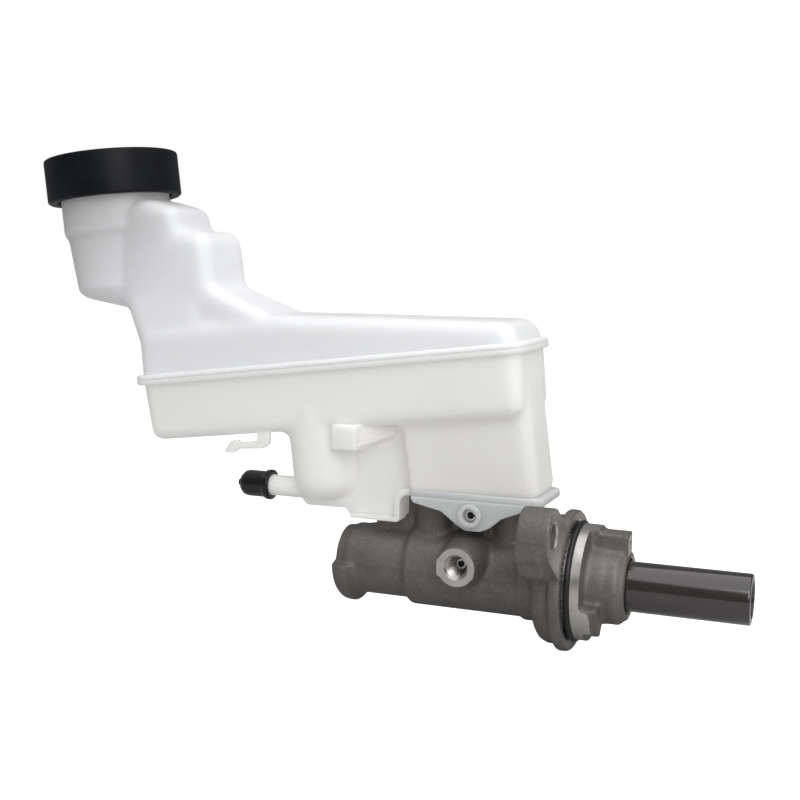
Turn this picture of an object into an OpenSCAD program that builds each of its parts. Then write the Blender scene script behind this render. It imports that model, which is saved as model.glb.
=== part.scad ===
// Tandem brake master cylinder with a two-piece remote-fill reservoir.
// Frame: the bore runs along X and the pistons push towards -X. The origin is where
// the bore axis crosses the mounting face, +X points to the brake booster, +Z is up.

/* [Bore and pistons] */
// Piston diameter, a 7/8 inch size
piston_d = 22.22; // [22:0.01:22.4]
// Radial running clearance between pistons and bore
run_gap = 0.04; // [0.02:0.01:0.08]
// Full travel of the primary piston
stroke = 26; // [20:1:26]
// Length of primary piston that stands out behind the mounting face
piston_out = 76.8; // [60:0.2:80]

/* [Cast cylinder] */
// Outer radius of the nose
nose_r = 16.5; // [16:0.1:17.5]
// Outer radius of the main barrel
barrel_r = 19; // [18.5:0.1:20]
// Outer radius of the mounting disc
disc_r = 31.7; // [31:0.1:33]
// Radius of the spigot that centres in the booster
spigot_r = 26; // [25.5:0.1:26.5]
// Length of the spigot's full ring
spigot_len = 7.6; // [7:0.1:8.5]
// Length of the machined lugs behind the ring
lug_len = 11.8; // [11:0.1:13]
// Radius of the holes for the mounting studs
stud_hole_r = 5.5; // [5:0.1:5.5]

/* [Brake line ports] */
// Wall radius of the threaded ports (M10 x 1 before tapping)
port_r = 4.5; // [4:0.1:5]
// Depth of the threaded ports
port_depth = 12; // [10:1:13]
// Position of the primary port along the bore
port_x = -47; // [-48:0.5:-45]
// Height of the primary port above the bore axis
port_z = 7.5; // [6:0.5:9]
// Position of the secondary port along the bore
port2_x = -97; // [-99:0.5:-95]

/* [Reservoir] */
// Tilt of the reservoir against the bore, in degrees
tilt = 7; // [5:0.5:8]
// Wall thickness of the reservoir shells
wall = 2.2; // [1.8:0.1:2.5]
// Depth of the tray below the weld seam
tray_depth = 30; // [28:1:32]
// Half width of tray and deck
tray_half = 25; // [24:0.5:26]
// Half width of the steps below the filler neck
riser_half = 21; // [19:0.5:22]
// Outer radius of the filler neck
neck_r = 25; // [24:0.5:26]

/* [Filler cap] */
// Outer radius of the filler cap
cap_r = 33.1; // [31:0.1:34]
// Height of the filler cap
cap_h = 21.6; // [20:0.1:24]

/* [Hidden] */
$fn = 48;
EPS = 0.01;
bore_r = piston_d / 2 + run_gap;
piston_r = piston_d / 2;

// Stations along the bore
bore_end_x = -108;
mouth_x = 24.5;
guide_bore_r = 12.7;
cup_groove_r = 14.4;
inlet_groove_r = 13;
cup_w = 4;
primary_cup_x = -35;
separator_x = -69;
secondary_cup_x = -80;
rear_cup_x = 6;
inlet_x = [-28.5, -66];
inlet_groove_x = [-30, -75];
feed_x = [-28.5, -72];
primary_front_x = -36;
// Gap to the primary piston leaves room for the secondary's half of the stroke
secondary_rear_x = primary_front_x - stroke / 2 - 1.5;
secondary_front_x = -84;
primary_pocket_x = -8;
secondary_pocket_x = -62;
spring_pocket_r = 8.6;
spring_r = 7.4;
wire_r = 0.8;
socket_r = 7.5;
socket_x = 42;
cage_lip_x = -30;
spring_seat_x = bore_end_x + 2.5;

// Flange: Y and Z of each stud hole
near_stud = [-40.7, 28.3];
far_stud = [48.9, -7];
ear_r = 12;
near_ear_t = 13.5;
far_ear_t = 13.5;

// Height of the second port above the bore axis
port2_z = 3;

// Saddle that carries the reservoir
saddle_z = 34.2;
saddle_r = 10.5;
grommet_r = 7.6;
pin_x = -44;
pin_z = 29.2;
pin_r = 2.4;
tab_y = 17;
tab_t = 2.2;
plate_z = 34.5;
plate_t = 4;
plate_x = [-75.4, -11.8];
plate_half = 18;

// Reservoir frame: u along the seam, w up from the seam
seam_o = [-124.4, 0, 92.6];
tray_u = [-90.5, 102.4];
box_u = [42, 103];
box_half = 17;
corner_r = 8;
cap_u = -108;
cap_w = 91.1;
neck_top_w = 107.5;
chamber_u = -1;
chamber_y = -9;
chamber_r = 16;
chamber_w = -64.5;
nipple_z = 33.2;
nipple_y = -10;
nipple_r = 5;
nipple_x = [-160, -133];
seat_r = 4.15;
switch_x = [-109, -97];
switch_z = [55.4, 66.4];
switch_y = -27;
reed_x = -103.5;
reed_z = 60.7;
bracket_y = [-13, -4.3];
float_u = 22;
float_r = 9;
float_h = 8;
float_floor_w = -tray_depth + wall + 0.6;

COL_CAST = "#77726d";
COL_STEEL = "#b9b6b0";
COL_PISTON = "#2e2624";
COL_SHELL = "#eceded";
COL_RUBBER = "#141414";
COL_CAP = "#15171b";
COL_SEAT = "#b99a55";
COL_POM = "#d9d4c4";

// ---------- helpers ----------

module rod_x(x0, x1, r, n = 96) {
    translate([x0, 0, 0]) rotate([0, 90, 0]) cylinder(h = x1 - x0, r = r, $fn = n);
}

module ring_x(x0, x1, r_out, r_in) {
    difference() {
        rod_x(x0, x1, r_out);
        rod_x(x0 - 1, x1 + 1, r_in);
    }
}

// Turns a profile drawn as [station along X, radius] about the bore axis
module turned_x(points) {
    rotate([0, 90, 0]) rotate_extrude($fn = 96) polygon([for (p = points) [p[1], p[0]]]);
}

module rounded_rect(u, v, r) {
    du = u[1] - u[0];
    dv = v[1] - v[0];
    translate([u[0] + r, v[0]]) square([du - 2 * r, dv]);
    translate([u[0], v[0] + r]) square([du, dv - 2 * r]);
    for (a = [u[0] + r, u[1] - r], b = [v[0] + r, v[1] - r]) translate([a, b]) circle(r = r, $fn = 48);
}

module in_reservoir() {
    translate(seam_o) rotate([0, -tilt, 0]) children();
}

// A side profile in the u-w plane of the reservoir, given a width about y = 0
module side_slab(points, half) {
    translate([0, half, 0]) rotate([90, 0, 0]) linear_extrude(2 * half) polygon(points);
}

// Helical wire about X from x0 to x1, with closed ends drawn by a shorter pitch
module coil_x(x0, x1, r, wire, turns) {
    sides = 8;
    steps = 20 * turns;
    span = x1 - x0 - 2 * wire;
    function centre(i) = let (t = i / steps, a = 360 * turns * t)
        [x0 + wire + span * (t - sin(360 * t) / 7.2), r * cos(a), r * sin(a)];
    points = [for (i = [0 : steps], k = [0 : sides - 1])
        let (a = 360 * turns * i / steps, b = 360 * k / sides)
        centre(i) + wire * [sin(b), cos(b) * cos(a), cos(b) * sin(a)]];
    walls = [for (i = [0 : steps - 1], k = [0 : sides - 1])
        let (n = (k + 1) % sides, p = i * sides, q = p + sides)
        [p + k, p + n, q + n, q + k]];
    first = [for (k = [sides - 1 : -1 : 0]) k];
    last = [for (k = [0 : sides - 1]) steps * sides + k];
    polyhedron(points, concat([first], walls, [last]), convexity = 8);
}

// ---------- cast cylinder ----------

module nose_and_barrel() {
    turned_x([[-114, 0], [-114, nose_r - 8], [-112.6, nose_r - 4.5], [-110, nose_r - 1.8],
              [-106, nose_r], [-78.5, nose_r], [-75.5, barrel_r], [-22.5, barrel_r],
              [-22, 20.2], [-14.5, 20.2], [-14.5, 24.5], [-12.5, 27.6], [-9.5, 29],
              [-5, 29], [-5, disc_r - 0.6], [-4.4, disc_r], [-0.8, disc_r], [0, disc_r - 0.8],
              [0, spigot_r], [spigot_len - 0.3, spigot_r], [spigot_len, spigot_r - 0.3],
              [spigot_len, 18.2], [15, 17.8], [15, 17.5], [21, 17.5], [mouth_x, 14.2], [mouth_x, 0]]);
    // Half collar on the underside of the nose, up to the parting line
    intersection() {
        turned_x([[-113.6, 0], [-113.6, 14], [-112.6, 18], [-110, 20.3], [-107.5, 20.8],
                  [-105, 20.8], [-101.5, nose_r - 0.1], [-101.5, 0]]);
        translate([-125, -25, -25]) cube([25, 50, 25]);
    }
}

module ear(stud, thick) {
    angle = atan2(stud[1], stud[0]);
    reach = norm(stud);
    translate([-thick, 0, 0]) rotate([angle, 0, 0]) {
        translate([0, 0, -ear_r]) cube([thick, reach, 2 * ear_r]);
        translate([0, reach, 0]) rotate([0, 90, 0]) cylinder(h = thick, r = ear_r, $fn = 96);
    }
}

module port_boss(x, z, side) {
    translate([x, 0, z]) rotate([side * 90, 0, 0]) {
        cylinder(h = 28.4, r1 = 14.5, r2 = 9.3, $fn = 64);
        translate([0, 0, 28.4 - EPS]) cylinder(h = 1.1, r1 = 9.3, r2 = 8.6, $fn = 64);
    }
    // Flanks that stand square on the lower half of the boss
    translate([x - 9.2, side > 0 ? -29.5 : 14, z - 4.5]) cube([17.6, 15.5, 7.4]);
}

module port_hole(x, z, side) {
    face = 29.5;
    translate([x, 0, z]) rotate([side * 90, 0, 0]) {
        translate([0, 0, face - port_depth]) cylinder(h = port_depth, r = seat_r + 0.05, $fn = 64);
        translate([0, 0, 22.1]) cylinder(h = face - 21.1, r = port_r, $fn = 64);
        translate([0, 0, face - 1.2]) cylinder(h = 1.21, r1 = port_r, r2 = port_r + 1.2, $fn = 64);
        translate([0, 0, 6]) cylinder(h = face - port_depth - 5.9, r = 1.5, $fn = 32);
    }
}

module saddle() {
    for (x = inlet_x) translate([x, 0, 0]) cylinder(h = saddle_z, r = saddle_r, $fn = 64);
    translate([inlet_x[1], -5.5, 0]) cube([inlet_x[0] - inlet_x[1], 11, 24]);
    translate([pin_x, 8, pin_z]) rotate([90, 0, 0]) cylinder(h = 16, r = 4.6, $fn = 48);
    translate([pin_x - 4.6, -8, 12]) cube([9.2, 16, pin_z - 12]);
    // Gusset from the nose up to the front inlet boss
    translate([0, 4, 0]) rotate([90, 0, 0]) linear_extrude(8)
        polygon([[-96, 10], [-96, 19.5], [-92, 22], [-79.6, 22.6], [-79.6, 33], [-70, 33], [-70, 10]]);
}

// Prism along X of an outline in the Y-Z plane
module prism_x(x0, x1, points) {
    translate([x0, 0, 0]) rotate([90, 0, 90]) linear_extrude(x1 - x0) polygon(points);
}

module rear_lugs() {
    fin = [[-6.5, 10], [4, 10], [4, 30], [-6.5, 30]];
    lug = [[-13, -4.6], [-28, -6.8], [-28, -16], [-19.5, -19.5], [-14.5, -21.5], [-8, -14]];
    intersection() {
        union() {
            rod_x(spigot_len - 1, lug_len, spigot_r - 0.4);
            rod_x(lug_len - 0.5, 24.2, 24.5);
        }
        prism_x(spigot_len - 1, 25, fin);
    }
    intersection() {
        rod_x(spigot_len - 1, 14.8, 25);
        prism_x(spigot_len - 1, 14.8, lug);
    }
}

module bore_cut() {
    turned_x([[bore_end_x - 2, 0], [bore_end_x - 2, 4], [bore_end_x, bore_r], [secondary_cup_x, bore_r],
              [secondary_cup_x, cup_groove_r], [secondary_cup_x + cup_w, cup_groove_r],
              [secondary_cup_x + cup_w, bore_r], [inlet_groove_x[1], bore_r],
              [inlet_groove_x[1], inlet_groove_r], [inlet_groove_x[1] + cup_w, inlet_groove_r],
              [inlet_groove_x[1] + cup_w, bore_r], [separator_x, bore_r],
              [separator_x, cup_groove_r], [separator_x + cup_w, cup_groove_r],
              [separator_x + cup_w, bore_r], [primary_cup_x, bore_r],
              [primary_cup_x, cup_groove_r], [primary_cup_x + cup_w, cup_groove_r],
              [primary_cup_x + cup_w, bore_r], [inlet_groove_x[0], bore_r],
              [inlet_groove_x[0], inlet_groove_r], [inlet_groove_x[0] + cup_w, inlet_groove_r],
              [inlet_groove_x[0] + cup_w, bore_r], [rear_cup_x, bore_r],
              [rear_cup_x, cup_groove_r], [rear_cup_x + cup_w, cup_groove_r],
              [rear_cup_x + cup_w, bore_r], [12.5, bore_r], [12.5, guide_bore_r],
              [19.6, guide_bore_r], [19.6, 13.7], [21, 13.7], [21, guide_bore_r],
              [mouth_x + 1, guide_bore_r], [mouth_x + 1, 0]]);
}

module cylinder_housing() {
    color(COL_CAST) difference() {
        union() {
            nose_and_barrel();
            ear(near_stud, near_ear_t);
            ear(far_stud, far_ear_t);
            port_boss(port_x, port_z, 1);
            port_boss(port2_x, port2_z, -1);
            saddle();
            rear_lugs();
        }
        bore_cut();
        // O-ring groove at the root of the spigot, a little below the mounting face
        ring_x(-0.2, 3.4, 27.8, 24);
        for (s = [near_stud, far_stud]) translate([0, s[0], s[1]]) {
            rod_x(-30, 1, stud_hole_r);
            turned_x([[-0.8, 0], [-0.8, stud_hole_r], [EPS, stud_hole_r + 0.8], [EPS, 0]]);
        }
        port_hole(port_x, port_z, 1);
        port_hole(port2_x, port2_z, -1);
        for (i = [0, 1]) {
            translate([inlet_x[i], 0, 24]) cylinder(h = 12, r = grommet_r, $fn = 64);
            translate([inlet_x[i], 0, saddle_z - 1.6]) cylinder(h = 3, r = 9, $fn = 64);
            translate([feed_x[i], 0, 9]) cylinder(h = 16, r = 1.4, $fn = 32);
        }
        translate([pin_x, 12, pin_z]) rotate([90, 0, 0]) cylinder(h = 24, r = pin_r + 0.03, $fn = 48);
        // Cross drilling behind the piston guide, closed by a ball
        translate([0, -1, 18.9]) rod_x(13, 26, 2, 32);
    }
}

module flange_o_ring() {
    color(COL_RUBBER) translate([1.9, 0, 0]) rotate([0, 90, 0])
        rotate_extrude($fn = 96) translate([25.7, 0]) circle(r = 1.45, $fn = 32);
}

module port_seat(x, z, side) {
    translate([x, 0, z]) rotate([side * 90, 0, 0]) rotate_extrude($fn = 48)
        polygon([[1.6, 17.5], [seat_r, 17.5], [seat_r, 19.2], [2.9, 21.2], [2.2, 21.6], [1.6, 21.6]]);
}

module port_seats() {
    color(COL_SEAT) {
        port_seat(port_x, port_z, 1);
        port_seat(port2_x, 3, -1);
    }
}

module passage_ball() {
    color(COL_STEEL) translate([22.2, -1, 18.9]) sphere(r = 1.99, $fn = 32);
}

// ---------- pistons, springs and seals ----------

module primary_piston() {
    color(COL_PISTON) difference() {
        turned_x([[primary_front_x, 0], [primary_front_x, piston_r - 0.5],
                  [primary_front_x + 0.5, piston_r], [piston_out - 0.8, piston_r],
                  [piston_out, piston_r - 0.8], [piston_out, 0]]);
        rod_x(primary_front_x - 1, primary_pocket_x, spring_pocket_r);
        turned_x([[socket_x - 3, 0], [socket_x - 2.4, 3], [socket_x - 1, 5.6], [socket_x + 1.5, socket_r],
                  [piston_out - 1, socket_r], [piston_out + EPS, socket_r + 1], [piston_out + EPS, 0]]);
        for (a = [0 : 60 : 300]) rotate([a, 0, 0]) translate([-28.5, 0, 5])
            cylinder(h = 10, r = 0.8, $fn = 24);
    }
}

module secondary_piston() {
    color(COL_PISTON) difference() {
        turned_x([[secondary_front_x, 0], [secondary_front_x, piston_r - 0.5],
                  [secondary_front_x + 0.5, piston_r], [secondary_rear_x - 0.5, piston_r],
                  [secondary_rear_x, piston_r - 0.5], [secondary_rear_x, 0]]);
        rod_x(secondary_front_x - 1, secondary_pocket_x, spring_pocket_r);
        rod_x(secondary_rear_x - 2, secondary_rear_x + 1, spring_pocket_r);
        for (a = [0 : 60 : 300]) rotate([a, 0, 0]) translate([-74, 0, 5])
            cylinder(h = 10, r = 0.8, $fn = 24);
    }
}

module primary_spring() {
    color(COL_STEEL) coil_x(secondary_rear_x - 0.5, primary_pocket_x - 1, spring_r, wire_r, 7);
}

module secondary_spring() {
    color(COL_STEEL) coil_x(spring_seat_x, secondary_pocket_x, spring_r, wire_r, 8);
}

module cage_sleeve() {
    color(COL_STEEL) {
        ring_x(primary_pocket_x - 1, primary_pocket_x, 8.4, 5);
        ring_x(cage_lip_x, primary_pocket_x - 1 + EPS, 5.7, 5);
        ring_x(cage_lip_x - 0.8, cage_lip_x, 5.7, 2.6);
    }
}

module cage_bolt() {
    color(COL_STEEL) {
        rod_x(secondary_rear_x - 2, secondary_rear_x - 0.5, 8.4, 64);
        rod_x(secondary_rear_x - 1, cage_lip_x + 1, 2.2, 32);
        rod_x(cage_lip_x + 0.1, cage_lip_x + 2.6, 4.6, 48);
    }
}

module secondary_spring_seat() {
    color(COL_POM) ring_x(bore_end_x, spring_seat_x, 10.6, 3);
}

// Lip seal held in a groove of the housing, lips towards the pressure side
module lip_seal(x0) {
    color(COL_RUBBER) turned_x([[x0 + 0.2, 11.25], [x0 + 0.2, 12], [x0 + 2, 12.6], [x0 + 0.2, 13.3],
                         [x0 + 0.2, 14.25], [x0 + cup_w - 0.15, 14.25], [x0 + cup_w - 0.15, 11.25]]);
}

module primary_cup() { lip_seal(primary_cup_x); }

module secondary_cup() { lip_seal(secondary_cup_x); }

module separator_cup() { lip_seal(separator_x); }

module rear_cup() { lip_seal(rear_cup_x); }

module piston_guide() {
    color(COL_POM) ring_x(12.6, 19.4, guide_bore_r - 0.02, piston_r + 0.05);
}

module retaining_ring() {
    color(COL_STEEL) difference() {
        ring_x(19.75, 20.85, 13.6, 11.6);
        translate([18, -1.6, -16]) cube([5, 3.2, 16]);
    }
}

module reservoir_grommets() {
    color(COL_RUBBER) for (x = inlet_x) translate([x, 0, 0]) difference() {
        union() {
            translate([0, 0, 25]) cylinder(h = 9, r = grommet_r - 0.05, $fn = 64);
            translate([0, 0, saddle_z - 1.55]) cylinder(h = 1.6, r = 8.9, $fn = 64);
        }
        translate([0, 0, 24]) cylinder(h = 12, r = 5, $fn = 48);
    }
}

module reservoir_pin() {
    color(COL_STEEL) translate([pin_x, 19, pin_z]) rotate([90, 0, 0]) difference() {
        cylinder(h = 38, r = pin_r, $fn = 48);
        translate([0, 0, -1]) cylinder(h = 40, r = pin_r - 0.8, $fn = 32);
        translate([0, -0.35, -1]) cube([5, 0.7, 40]);
    }
}

// ---------- reservoir ----------

// Weld flange, half of which belongs to each shell
module seam_flange(w0, w1) {
    translate([0, 0, w0]) linear_extrude(w1 - w0) difference() {
        rounded_rect([tray_u[0] - 3, tray_u[1] + 2.4], [-tray_half - 3, tray_half + 3], corner_r + 2);
        rounded_rect([tray_u[0] + wall, tray_u[1] - wall],
                     [-tray_half + wall, tray_half - wall], corner_r - 2);
    }
}

module tray(g) {
    translate([0, 0, -tray_depth + g]) linear_extrude(tray_depth)
        rounded_rect([tray_u[0] + g, tray_u[1] - g], [-tray_half + g, tray_half - g], corner_r - g);
}

module feed_box(g) {
    intersection() {
        translate([0, 0, -76]) linear_extrude(64)
            rounded_rect([box_u[0] + g, box_u[1] - g], [-box_half + g, box_half - g], 5 - g);
        rotate([0, tilt, 0]) translate([-100, -30, plate_z + g] - seam_o) cube([100, 60, 60]);
    }
}

module clutch_chamber(g) {
    translate([chamber_u, chamber_y, 0]) rotate_extrude($fn = 64)
        polygon([[0, -20], [chamber_r - g, -20], [chamber_r - g, chamber_w + 12],
                 [chamber_r - 0.8 - g, chamber_w + 8 + g / 3], [chamber_r - 2.6 - g, chamber_w + 5 + g / 2],
                 [chamber_r - 5.5 - g, chamber_w + 2.5 + g], [chamber_r - 9 - g, chamber_w + 0.8 + g],
                 [chamber_r - 13, chamber_w + g], [0, chamber_w + g]]);
}

module base_plate() {
    translate([0, 0, plate_z]) linear_extrude(plate_t)
        rounded_rect(plate_x, [-plate_half, plate_half], 5);
}

module tab(side) {
    y0 = side > 0 ? tab_y + tab_t : -tab_y;
    translate([0, y0, 0]) rotate([90, 0, 0]) linear_extrude(tab_t)
        polygon([[-73, plate_z + 1], [-71.5, 32.8], [-58, 30], [-51, 24.8], [-46.5, 22.2],
                 [-39.5, 22.2], [-34.8, 24.3], [-30, 28.6], [-21, 32.4], [-14, plate_z + 1]]);
    translate([pin_x, side > 0 ? tab_y + 4.4 : -tab_y, pin_z]) rotate([90, 0, 0])
        cylinder(h = 4.4, r = 5.2, $fn = 48);
}

module switch_socket() {
    dx = switch_x[1] - switch_x[0];
    dz = switch_z[1] - switch_z[0];
    difference() {
        translate([switch_x[0], switch_y, switch_z[0]]) cube([dx, 11, dz]);
        translate([switch_x[0] + 1.5, switch_y + 1.5, switch_z[0] - 1]) cube([dx - 3, 7.5, dz - 0.5]);
    }
}

module switch_arm() {
    translate([switch_x[1], 0, 0]) rotate([0, -90, 0])
        linear_extrude(switch_x[1] - switch_x[0])
        polygon([[switch_z[0], switch_y + 10], [switch_z[1], switch_y + 10],
                 [switch_z[1], 9], [switch_z[0] + 2, 9], [switch_z[0], 5]]);
    // Wedge that dies out on the bracket's web
    intersection() {
        translate([0, -7, 0]) rotate([90, 0, 0]) linear_extrude(30)
            polygon([[-97.5, 56], [-84, 61], [-84, 68.2], [-97.5, 68.2]]);
        translate([0, 0, 50]) linear_extrude(20)
            polygon([[-97.5, -7], [-97.5, -24.5], [-84, -10.5], [-84, -7]]);
    }
}

// Web under chamber and tray, with a rim along its free edge
module bracket() {
    translate([0, bracket_y[0] + 6, 0]) rotate([90, 0, 0]) linear_extrude(1.8)
        polygon([[-134, 60], [-134, 29], [-130, 24.8], [-111.5, 24.8], [-109.8, 25.2], [-106.8, 21.5],
                 [-80.6, 21.5], [-80.6, 35], [-74, 35], [-74, 70], [-118, 66]]);
    depth = bracket_y[1] - bracket_y[0];
    translate([-106.8, bracket_y[0], 21.5]) cube([26.2, depth, 1.7]);
    translate([-82.5, bracket_y[0], 21.5]) cube([1.9, depth, 15.2]);
    translate([-82.5, bracket_y[1] - 1, 23.2]) cube([1.9, 7, 13.5]);
    translate([-82.5, bracket_y[0], 35]) cube([9, depth + 6, 1.7]);
}

module hose_hook() {
    translate([0, -18.6, 0]) rotate([90, 0, 0]) linear_extrude(3) polygon(
        [[-150, 62], [-144, 62.5], [-144, 54.5], [-146, 52.5], [-160, 51.5], [-163.5, 49],
         [-168, 49.5], [-164.5, 55], [-160.5, 55.8], [-160.5, 54.6], [-150, 55.6]]);
}

module shell_outlets() {
    for (x = inlet_x) translate([x, 0, 26]) cylinder(h = 10, r = 4.95, $fn = 48);
}

module nipple() {
    translate([nipple_x[0], nipple_y, nipple_z]) rotate([0, 90, 0]) {
        cylinder(h = nipple_x[1] - nipple_x[0] + 10, r = nipple_r, $fn = 64);
    }
}

module reservoir_lower_shell() {
    color(COL_SHELL) difference() {
        union() {
            in_reservoir() {
                tray(0);
                seam_flange(-2.6, 0);
                feed_box(0);
                clutch_chamber(0);
            }
            base_plate();
            tab(1);
            tab(-1);
            switch_socket();
            switch_arm();
            bracket();
            hose_hook();
            shell_outlets();
            nipple();
        }
        in_reservoir() {
            tray(wall);
            difference() {
                feed_box(wall);
                // Wall that splits the feed box between the two circuits
                translate([72, -30, -80]) cube([2, 60, 70]);
            }
            clutch_chamber(wall);
        }
        for (x = inlet_x) translate([x, 0, 20]) cylinder(h = 25, r = 3.2, $fn = 32);
        translate([nipple_x[0] - 1, nipple_y, nipple_z]) rotate([0, 90, 0])
            cylinder(h = 34, r = 2.6, $fn = 32);
        // Pin holes with a wider mouth on the outside
        translate([pin_x, 30, pin_z]) rotate([90, 0, 0]) cylinder(h = 60, r = pin_r + 0.03, $fn = 48);
        for (s = [-1, 1]) translate([pin_x, s > 0 ? 30 : -17.8, pin_z]) rotate([90, 0, 0])
            cylinder(h = 12.2, r = 3.2, $fn = 48);
        // Pocket for the reed switch
        translate([reed_x, 4.2, reed_z]) rotate([90, 0, 0]) cylinder(h = 24, r = 2.3, $fn = 32);
    }
}

// Insert with two baffles, a side wall and the guide post of the level float
module tray_baffles() {
    color(COL_SHELL) in_reservoir() {
        floor_w = -tray_depth + wall + 0.05;
        baffle_w = 2 * (tray_half - wall - 0.3);
        difference() {
            union() {
                for (u = [-44, 36])
                    translate([u, wall + 0.3 - tray_half, floor_w]) cube([1.8, baffle_w, 20]);
                translate([-44, 14, floor_w]) cube([81, 1.6, 12]);
            }
            for (v = [-15, 0, 12]) translate([-50, v, floor_w - 1]) cube([95, 4, 5]);
        }
        translate([float_u, 0, floor_w]) cylinder(h = 25, r = 2, $fn = 48);
        translate([float_u, -2, floor_w]) cube([15, 4, 0.5]);
        translate([float_u - 1, 1.2, floor_w]) cube([2, 14, 0.5]);
    }
}

// Side profile of the long deck above the seam, drawn in by g
function deck_outline(g) = [[-90.5 + g, -g], [-90.5 + g, 22], [-86 + g, 29 - g], [-13, 25.2 - g],
    [34.7, 19.5 - g], [92.5 - g, 12.4 - g], [98.4 - g, 10 - g], [101.6 - g, 5.5], [102.4 - g, 1],
    [102.4 - g, -g]];

// Side profile of the two steps that climb to the filler neck, drawn in by g
function riser_outline(g) = [[-85 + g, 5], [-89.5 + g, 22], [-98 + g, 35.5], [-106, 40 + g],
    [-106, 87.4 - g], [-82, 87.4 - g], [-69 - g, 84.2 - g], [-64.8 - g, 81 - g], [-63 - g, 76.5 - g],
    [-63 - g, 70.4 - g], [-53 - g, 68.6 - g], [-49 - g, 65.4 - g], [-47.3 - g, 60 - g],
    [-47 - g, 48 - g], [-45.2 - g, 41.3 - g], [-40.5 - g, 36 - g], [-23.5, 28.8 - g],
    [-13, 25.2 - g], [0, 22 - g], [0, 5]];

module neck(g) {
    translate([cap_u, 0, 0]) rotate_extrude($fn = 96)
        polygon([[0, 39.5 + g], [14, 39.5 + g], [20 - g, 43.5 + g], [23 - g, 48 + g], [neck_r - g, 72],
                 [neck_r + 1.8 - g, 75.5], [neck_r + 1.8 - g, neck_top_w + g], [0, neck_top_w + g]]);
}

module upper_form(g) {
    intersection() {
        side_slab(deck_outline(g), tray_half);
        translate([0, 0, -5]) linear_extrude(60)
            rounded_rect([tray_u[0] + g, tray_u[1] - g], [-tray_half + g, tray_half - g], corner_r - g);
    }
    side_slab(riser_outline(g), riser_half - g);
    neck(g);
}

module reservoir_upper_shell() {
    color(COL_SHELL) in_reservoir() difference() {
        union() {
            intersection() {
                upper_form(0);
                translate([-150, -50, 0]) cube([300, 100, 200]);
            }
            seam_flange(0.02, 2.6);
        }
        upper_form(wall);
    }
}

// Basket strainer that hangs by its rim in the filler neck
module filler_strainer() {
    rim_w = neck_top_w + 0.05;
    color(COL_POM) in_reservoir() translate([cap_u, 0, 0]) difference() {
        union() {
            translate([0, 0, rim_w]) cylinder(h = 1.2, r = neck_r + 1.2, $fn = 96);
            translate([0, 0, rim_w - 30]) cylinder(h = 30.1, r = 21.5, $fn = 96);
        }
        translate([0, 0, rim_w - 28.6]) cylinder(h = 35, r = 20.1, $fn = 96);
        for (a = [0 : 30 : 330], w = [-25 : 8 : -9]) rotate([0, 0, a])
            translate([18, -2.5, rim_w + w]) cube([6, 5, 5]);
        for (a = [-12 : 6 : 12]) translate([a - 1.5, -13, rim_w - 31]) cube([3, 26, 3]);
    }
}

module level_float() {
    color(COL_SHELL) in_reservoir() translate([float_u, 0, float_floor_w]) difference() {
        cylinder(h = float_h, r = float_r, $fn = 64);
        translate([0, 0, -1]) cylinder(h = 12, r = 2.3, $fn = 48);
        translate([0, 0, -EPS]) cylinder(h = 2.5, r = 5.5, $fn = 48);
    }
}

module float_magnet() {
    color(COL_STEEL) in_reservoir() translate([float_u, 0, float_floor_w + 0.1]) difference() {
        cylinder(h = 2.3, r = 5.4, $fn = 48);
        translate([0, 0, -1]) cylinder(h = 5, r = 2.4, $fn = 48);
    }
}

module reed_switch() {
    color(COL_RUBBER) translate([reed_x, 4, reed_z]) rotate([90, 0, 0])
        cylinder(h = 23, r = 2.2, $fn = 32);
}

module switch_terminals() {
    color(COL_SEAT) for (x = [reed_x - 1.6, reed_x + 0.8])
        translate([x, -20, reed_z - 4]) cube([0.8, 0.98, 5]);
}

module filler_cap() {
    color(COL_CAP) in_reservoir() translate([cap_u, 0, cap_w]) difference() {
        rotate_extrude($fn = 96) polygon([[0, 0], [cap_r - 0.5, 0], [cap_r, 0.8], [cap_r, cap_h - 1],
                                          [cap_r - 1, cap_h], [0, cap_h]]);
        translate([0, 0, -1]) cylinder(h = cap_h - 0.6, r = neck_r + 3.4, $fn = 96);
    }
}

// Plain washer that lets the cap turn on the diaphragm
module cap_slip_washer() {
    color(COL_POM) in_reservoir() translate([cap_u, 0, neck_top_w + 2.6]) difference() {
        cylinder(h = 0.8, r = neck_r + 1.2, $fn = 96);
        translate([0, 0, -1]) cylinder(h = 3, r = 15, $fn = 64);
    }
}

// Convoluted rubber diaphragm that seals on the strainer's rim
module cap_diaphragm() {
    color(COL_RUBBER) in_reservoir() translate([cap_u, 0, neck_top_w + 1.3]) rotate_extrude($fn = 96)
        polygon([[0, -8], [9, -8], [9, 0.2], [13, 0.2], [13, -8], [17, -8], [17, 0], [neck_r + 1, 0],
                 [neck_r + 1, 1.2], [16, 1.2], [16, -7], [14, -7], [14, 1.2], [8, 1.2], [8, -7], [0, -7]]);
}

module nipple_cap() {
    tip = -165.8;
    color(COL_RUBBER) translate([0, nipple_y, nipple_z]) difference() {
        turned_x([[tip, 0], [tip, 1.6], [tip + 1.2, 1.8], [tip + 2.2, 4], [tip + 4, 5.8],
                  [tip + 6, 6.3], [-150.5, 6.3], [-149.5, 7.2], [-147.9, 7.2], [-147.5, 6.7],
                  [-147.5, 0]]);
        rod_x(nipple_x[0] - 0.3, -146, nipple_r + 0.05, 64);
    }
}

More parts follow.
